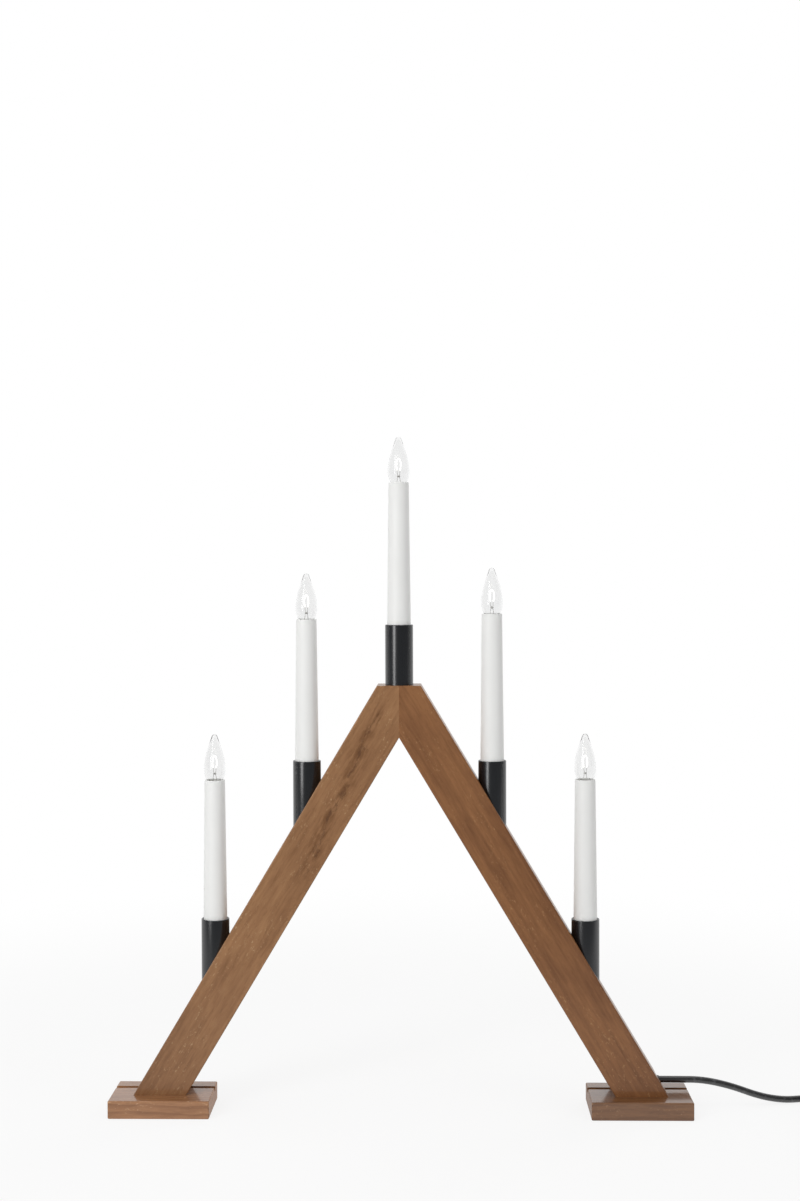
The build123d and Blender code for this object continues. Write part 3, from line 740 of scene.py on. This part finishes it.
def add_thread(bm, centre, radius, low, pitch, turns, depth, segments):
    """Adds a thread ridge that winds up a barrel; a negative depth points inwards."""
    profile = [(-0.3 * depth, -0.42), (0.55 * depth, -0.24), (depth, 0), (0.55 * depth, 0.24), (-0.3 * depth, 0.42)]
    points = [bm.verts.new((centre.x + radius + out, centre.y, low + up * pitch)) for out, up in profile]
    edges = [bm.edges.new(pair) for pair in zip(points, points[1:] + points[:1])]
    steps = round(segments * turns)
    bmesh.ops.spin(
        bm, geom=points + edges, cent=(centre.x, centre.y, 0), axis=(0, 0, 1), dvec=(0, 0, pitch / segments),
        angle=2 * pi * turns, steps=steps, use_merge=False,
    )
    bmesh.ops.holes_fill(bm, edges=[edge for edge in bm.edges if edge.is_boundary])
    bmesh.ops.recalc_face_normals(bm, faces=bm.faces)


def brass(name, colour):
    """Thin drawn brass with light tarnish."""
    finish = Finish(name, Metallic=1.0)
    tarnish = finish.noise(finish.place(), 500, 4, 0.6)
    finish.set(Base_Color=finish.shades(tarnish.ramp(0.4, 0.8), colour, 0.7))
    finish.set(Roughness=0.22 + 0.25 * tarnish)
    return finish.material


class ARCH_OT_sockets(bpy.types.Operator):
    """Finishes the lamp sockets and their contacts"""

    bl_idname = "arch.sockets"
    bl_label = "Lamp sockets"

    def execute(self, context):
        look = context.scene.arch_candle
        metal = brass("socket_brass", (0.72, 0.50, 0.22))
        wall = 0.5 * MM
        floor_height = 1.5 * MM
        hole = 1.5 * MM
        thread_start = 2.4 * MM
        thread_turns = 3.2
        thread_depth = 0.2 * MM
        for name in CANDLES:
            centre, low, high = middle(f"{name}_lamp_socket")
            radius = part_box(f"{name}_lamp_socket")[1].x - centre.x
            inner = radius - wall
            floor = low + floor_height
            profile = [(hole, low), (radius, low), (radius, high), (inner, high), (inner, floor), (hole, floor)]
            bm = turned(profile, centre, look.segments, closed=True)
            add_thread(
                bm, centre, inner, floor + thread_start, look.thread_pitch, thread_turns, -thread_depth,
                look.segments // 2,
            )
            piece_from(f"{name}_screw_shell", bm, metal, "frame", f"{name}_lamp_socket", slot="socket_brass")
            dress(f"{name}_socket_contact", metal)
        return {"FINISHED"}


def flame_profile(inset, low, top, neck, belly):
    """Profile of a flame bulb from its neck to its tip, drawn in by an inset."""
    rise = 9.9 * MM
    belly_height = low + rise
    lower = (rise**2 + (belly - neck) ** 2) / (2 * (belly - neck))
    neck_angle = -41 + 4 * inset / MM
    upper = 45.6 * MM
    tip = 2.18 * MM - inset
    lean = 18.67
    profile = [(neck - inset, low + inset)]
    profile += arc((belly - lower, belly_height), lower - inset, neck_angle, 0, 14)
    profile += arc((belly - upper, belly_height), upper - inset, 0, lean, 16)[1:]
    return profile + arc((0, top - inset - tip), tip, lean, 90, 10)


def bulb_glass(look, name):
    """The glass envelope: outer skin and hollow, closed by the neck in the cap."""
    node = f"{name}_bulb_glass"
    centre, low, top = middle(node)
    cap_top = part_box(f"{name}_bulb_cap")[1].z
    belly = 7.95 * MM
    neck = 4.2 * MM
    outer = flame_profile(0, cap_top, top, neck, belly)
    bm = turned([(0, low), (neck, low)] + outer, centre, look.segments)
    hollow = flame_profile(look.glass_wall, cap_top, top - look.glass_tip, neck, belly)
    inner = turned([(0, hollow[0][1])] + hollow, centre, look.segments)
    bmesh.ops.reverse_faces(inner, faces=inner.faces)
    mesh = bpy.data.meshes.new("hollow")
    inner.to_mesh(mesh)
    inner.free()
    bm.from_mesh(mesh)
    bpy.data.meshes.remove(mesh)
    return bm


def wire(bm, points, radius):
    """Adds a round wire along points to a bmesh."""
    data = bpy.data.curves.new("wire", "CURVE")
    data.dimensions = "3D"
    line = data.splines.new("POLY")
    line.points.add(len(points) - 1)
    for point, place in zip(line.points, points):
        point.co = (*place, 1)
    data.bevel_depth = radius
    data.bevel_resolution = 1
    data.use_fill_caps = True
    lent = bpy.data.objects.new("wire", data)
    mesh = bpy.data.meshes.new_from_object(lent)
    bm.from_mesh(mesh)
    bpy.data.objects.remove(lent)
    bpy.data.curves.remove(data)
    bpy.data.meshes.remove(mesh)


def screw_cap(look, name):
    """The cap's barrel with its thread, the black glass below that carries the contact, and cement inside."""
    centre, low, high = middle(f"{name}_bulb_cap")
    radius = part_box(f"{name}_bulb_cap")[1].x - centre.x
    barrel = radius - look.thread_depth
    shoulder = low + 0.9 * MM
    cup = high - 4.0 * MM
    inner = radius - 0.4 * MM
    foot, root = 2.2 * MM, 3.1 * MM
    soft = 0.3 * MM
    chamfer = 0.2 * MM
    thread_start = 2.2 * MM
    thread_turns = 2.75
    profile = [(0, low), (foot, low), (root, shoulder), (barrel - soft, shoulder)]
    profile += arc((barrel - soft, shoulder + soft), soft, -90, 0, 4)[1:]
    profile += [(barrel, high - 1.0 * MM), (radius, high - 0.7 * MM), (radius, high - chamfer)]
    profile += [(radius - chamfer, high), (inner, high), (inner, cup), (0, cup)]
    bm = turned(profile, centre, look.segments)
    # Finishes in the order that the cap gets them: brass, black glass and cement
    for face in bm.faces:
        spot = face.calc_center_median()
        within = (spot.xy - centre.xy).length < inner + 0.02 * MM and spot.z > cup - 0.01 * MM
        cemented = within or spot.z > high - 0.05 * MM
        face.material_index = 2 if cemented else int(spot.z < shoulder - 0.05 * MM)
    add_thread(
        bm, centre, barrel, low + thread_start, look.thread_pitch, thread_turns, look.thread_depth,
        look.segments // 2,
    )
    return bm


def lead_wires(centre, top):
    """Two lead wires, pinched in a glass bead, that hold the glowing coil."""
    course = [(1.6, -1.9), (1.15, 1.5), (0.75, 3.9), (0.75, 5.3), (0.92, 7.2), (0.98, 9.1)]
    lead_radius = 0.2 * MM
    bead_radius = 1.25 * MM
    bead_height = 4.6 * MM
    bm = bmesh.new()
    for side in (-1, 1):
        wire(bm, [(centre.x + side * out * MM, centre.y, top + up * MM) for out, up in course], lead_radius)
    bead = bmesh.ops.create_uvsphere(bm, u_segments=20, v_segments=12, radius=bead_radius)["verts"]
    bmesh.ops.scale(bm, vec=(1, 0.7, 0.62), verts=bead)
    bmesh.ops.translate(bm, vec=(centre.x, centre.y, top + bead_height), verts=bead)
    return bm


def glow_coil(centre, top):
    """The filament: a fine coil bent into a tall arch."""
    turns = 30
    per_turn = 9
    first_angle, sweep = 232.3, 284.6
    half_width, half_height = 1.6, 4.8
    winding = 0.34
    coil_height = 12.8
    wire_radius = 0.13 * MM
    points = []
    for step in range(turns * per_turn + 1):
        share = step / (turns * per_turn)
        bend = radians(first_angle - sweep * share)
        wind = 2 * pi * turns * share
        out = half_width + winding * cos(wind)
        up = half_height + winding * cos(wind)
        points.append((
            centre.x + out * cos(bend) * MM,
            centre.y + winding * sin(wind) * MM,
            top + (coil_height + up * sin(bend)) * MM,
        ))
    bm = bmesh.new()
    wire(bm, points, wire_radius)
    return bm


class ARCH_OT_bulbs(bpy.types.Operator):
    """Blows the flame bulbs and mounts their caps and filaments"""

    bl_idname = "arch.bulbs"
    bl_label = "Bulbs"

    def execute(self, context):
        look = context.scene.arch_candle
        glass = Finish("bulb_glass", 0.0, Transmission_Weight=1.0, IOR=1.35)
        haze = glass.noise(glass.place(), 90, 1)
        glass.set(Base_Color=glass.shades(haze, look.glass_colour, 0.985))
        clear = glass.node("ShaderNodeBsdfTransparent", {}, {"Color": look.glass_colour})
        surface = Value(glass, glass.surface.outputs[0])
        lit = {0: glass.rays("Shadow", "Diffuse"), 1: surface, 2: clear}
        glass.output("Surface", glass.node("ShaderNodeMixShader", {}, lit))
        cap_metal = brass("cap_brass", (0.75, 0.56, 0.28))
        vitrite = Finish("black_glass", 0.25, IOR=1.52)
        swirl = vitrite.noise(vitrite.place(), 700)
        vitrite.set(Base_Color=vitrite.mix(swirl, (0.012, 0.011, 0.014), (0.03, 0.03, 0.035)))
        cement = Finish("cap_cement", 0.9)
        grit = cement.noise(cement.place(), 1500)
        cement.set(Base_Color=cement.mix(grit, (0.80, 0.79, 0.75), (0.70, 0.68, 0.63)))
        solder = Finish("solder_dot", 0.45, Metallic=1.0)
        dull = solder.noise(solder.place(), 1800, 3)
        solder.set(Base_Color=solder.mix(dull, (0.55, 0.55, 0.56), (0.38, 0.38, 0.4)))
        lead = Finish("lead_wire", 0.4, Metallic=0.3)
        shade = lead.noise(lead.place(), 2000, 2)
        lead.set(Base_Color=lead.mix(shade, (0.46, 0.45, 0.43), (0.60, 0.59, 0.57)))
        glow = Finish("glowing_coil", 0.5, Emission_Strength=look.glow)
        warmth = glow.noise(glow.place(), 400, 1)
        glow.set(Base_Color=(0.9, 0.88, 0.82))
        glow.set(Emission_Color=glow.mix(warmth, (1.0, 0.98, 0.94), (1.0, 0.96, 0.9)))
        for name in CANDLES:
            body = f"{name}_bulb"
            centre = middle(f"{name}_bulb_cap")[0]
            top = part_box(f"{name}_candle_tube")[1].z
            piece_from(f"{name}_flame_glass", bulb_glass(look, name), glass.material, body, f"{name}_bulb_glass",
                       slot="clear_glass", flat_above=radians(60))
            cap = piece_from(f"{name}_screw_cap", screw_cap(look, name), cap_metal, body, f"{name}_bulb_cap",
                             slot="cap_brass", flat_above=radians(50))
            cap.data.materials.append(vitrite.material)
            cap.data.materials.append(cement.material)
            piece_from(f"{name}_lead_wires", lead_wires(centre, top), lead.material, body, f"{name}_filament",
                       slot="filament_metal")
            piece_from(f"{name}_glow_coil", glow_coil(centre, top), glow.material, body, slot="filament_metal")
            dress(f"{name}_bulb_contact", solder.material)
        return {"FINISHED"}


def area_light(name, power, place, aim, size, colour=(1, 1, 1)):
    """A soft rectangular lamp that looks at a point."""
    data = bpy.data.lights.new(name, "AREA")
    data.shape = "RECTANGLE"
    data.size, data.size_y = size
    data.energy = power
    data.color = colour
    lamp = show(name, data)
    lamp.location = place
    lamp.rotation_euler = (Vector(aim) - Vector(place)).to_track_quat("-Z", "Y").to_euler()
    lamp.visible_transmission = False
    return lamp


class ARCH_OT_stage(bpy.types.Operator):
    """Lays the pale floor and sets the lamps"""

    bl_idname = "arch.stage"
    bl_label = "Stage"

    def execute(self, context):
        look = context.scene.arch_stage
        scene = context.scene
        scene.view_settings.view_transform = "Standard"
        bm = bmesh.new()
        bmesh.ops.create_grid(bm, x_segments=1, y_segments=1, size=12)
        mesh = bpy.data.meshes.new("pale_floor")
        bm.to_mesh(mesh)
        bm.free()
        floor = show("pale_floor", mesh)
        finish = Finish("pale_floor", 0.9, Specular_IOR_Level=0.0, Base_Color=look.floor_colour)
        place = finish.place()
        away = finish.node("ShaderNodeVectorMath", {"operation": "LENGTH"}, {0: place}, 1)
        white = finish.node("ShaderNodeEmission", {}, {"Color": (1, 1, 1), "Strength": 1.0})
        dim = finish.node("ShaderNodeEmission", {}, {"Color": (1, 1, 1), "Strength": look.front_floor})
        # Mirrors, but not glass, see a dimmer floor before the object
        front = 1 - finish.split(place)[1].ramp(-0.7, 0)
        before = finish.rays("Glossy") * (1 - finish.rays("Transmission")) * front
        seen = finish.node("ShaderNodeMixShader", {}, {0: before, 1: white, 2: dim})
        # Near the object the floor keeps a soft shadow, further away it is white
        whiteness = 0.84 + 0.16 * away.ramp(0.3, 0.9)
        share = finish.rays("Camera", "Glossy", "Transmission") * whiteness
        surface = Value(finish, finish.surface.outputs[0])
        finish.output("Surface", finish.node("ShaderNodeMixShader", {}, {0: share, 1: surface, 2: seen}))
        mesh.materials.append(finish.material)
        world = bpy.data.worlds.new("studio")
        scene.world = world
        world.use_nodes = True
        # A white backdrop behind the object and a dim room before it, and white for the camera
        sky = Nodes(world.node_tree)
        backdrop = sky.split(sky.spot("Generated"))[1].ramp(-0.3, 0.8)
        mirrored = sky.rays("Glossy", "Transmission")
        glazed = sky.node("ShaderNodeLightPath", {}, {}, "Transmission Depth").math("MINIMUM", 1)
        room = look.room + glazed * (look.glass_room - look.room)
        strength = look.sky + mirrored * (room - look.sky + (1 - room) * backdrop)
        strength = strength + sky.rays("Camera") * (1 - strength)
        background = sky.tree.nodes["Background"]
        sky.feed(background.inputs["Color"], (1, 1, 1))
        sky.feed(background.inputs["Strength"], strength)
        centre = (0, 0, 0.24)
        area_light("key", look.key_power, (-1.05, -1.25, 0.75), centre, (0.5, 1.4))
        fill = area_light("fill", look.fill_power, (1.35, -0.9, 0.6), centre, (0.7, 1.4))
        back = area_light("back", look.back_power, (1.0, 1.25, 0.8), centre, (0.9, 1.4))
        area_light("top", look.top_power, (-0.1, -0.15, 1.6), centre, (1.4, 1.2))
        for soft in (fill, back):
            soft.visible_glossy = False
        return {"FINISHED"}


class ARCH_PT_panel(bpy.types.Panel):
    """Lists the steps and their settings"""

    bl_idname = "ARCH_PT_panel"
    bl_label = "Candle Arch"
    bl_space_type = "VIEW_3D"
    bl_region_type = "UI"
    bl_category = "Candle Arch"

    def draw(self, context):
        for step in STEPS:
            self.layout.operator(step.bl_idname)
        for group in GROUPS:
            box = self.layout.box()
            settings = getattr(context.scene, group)
            for name in settings.__annotations__:
                box.prop(settings, name)


GROUPS = {"arch_wood": WoodLook, "arch_candle": CandleLook, "arch_cord": CordLook, "arch_stage": StageLook}
STEPS = [
    ARCH_OT_camera, ARCH_OT_cord, ARCH_OT_woodwork, ARCH_OT_hardware, ARCH_OT_sleeves, ARCH_OT_tubes,
    ARCH_OT_sockets, ARCH_OT_bulbs, ARCH_OT_stage,
]


def register():
    for kind in [*GROUPS.values(), *STEPS, ARCH_PT_panel]:
        bpy.utils.register_class(kind)
    for name, kind in GROUPS.items():
        setattr(bpy.types.Scene, name, PointerProperty(type=kind))


def unregister():
    for name in GROUPS:
        delattr(bpy.types.Scene, name)
    for kind in reversed([*GROUPS.values(), *STEPS, ARCH_PT_panel]):
        bpy.utils.unregister_class(kind)


def main():
    """Runs every step in order."""
    register()
    for step in STEPS:
        group, name = step.bl_idname.split(".")
        getattr(getattr(bpy.ops, group), name)()


if __name__ == "__main__":
    main()
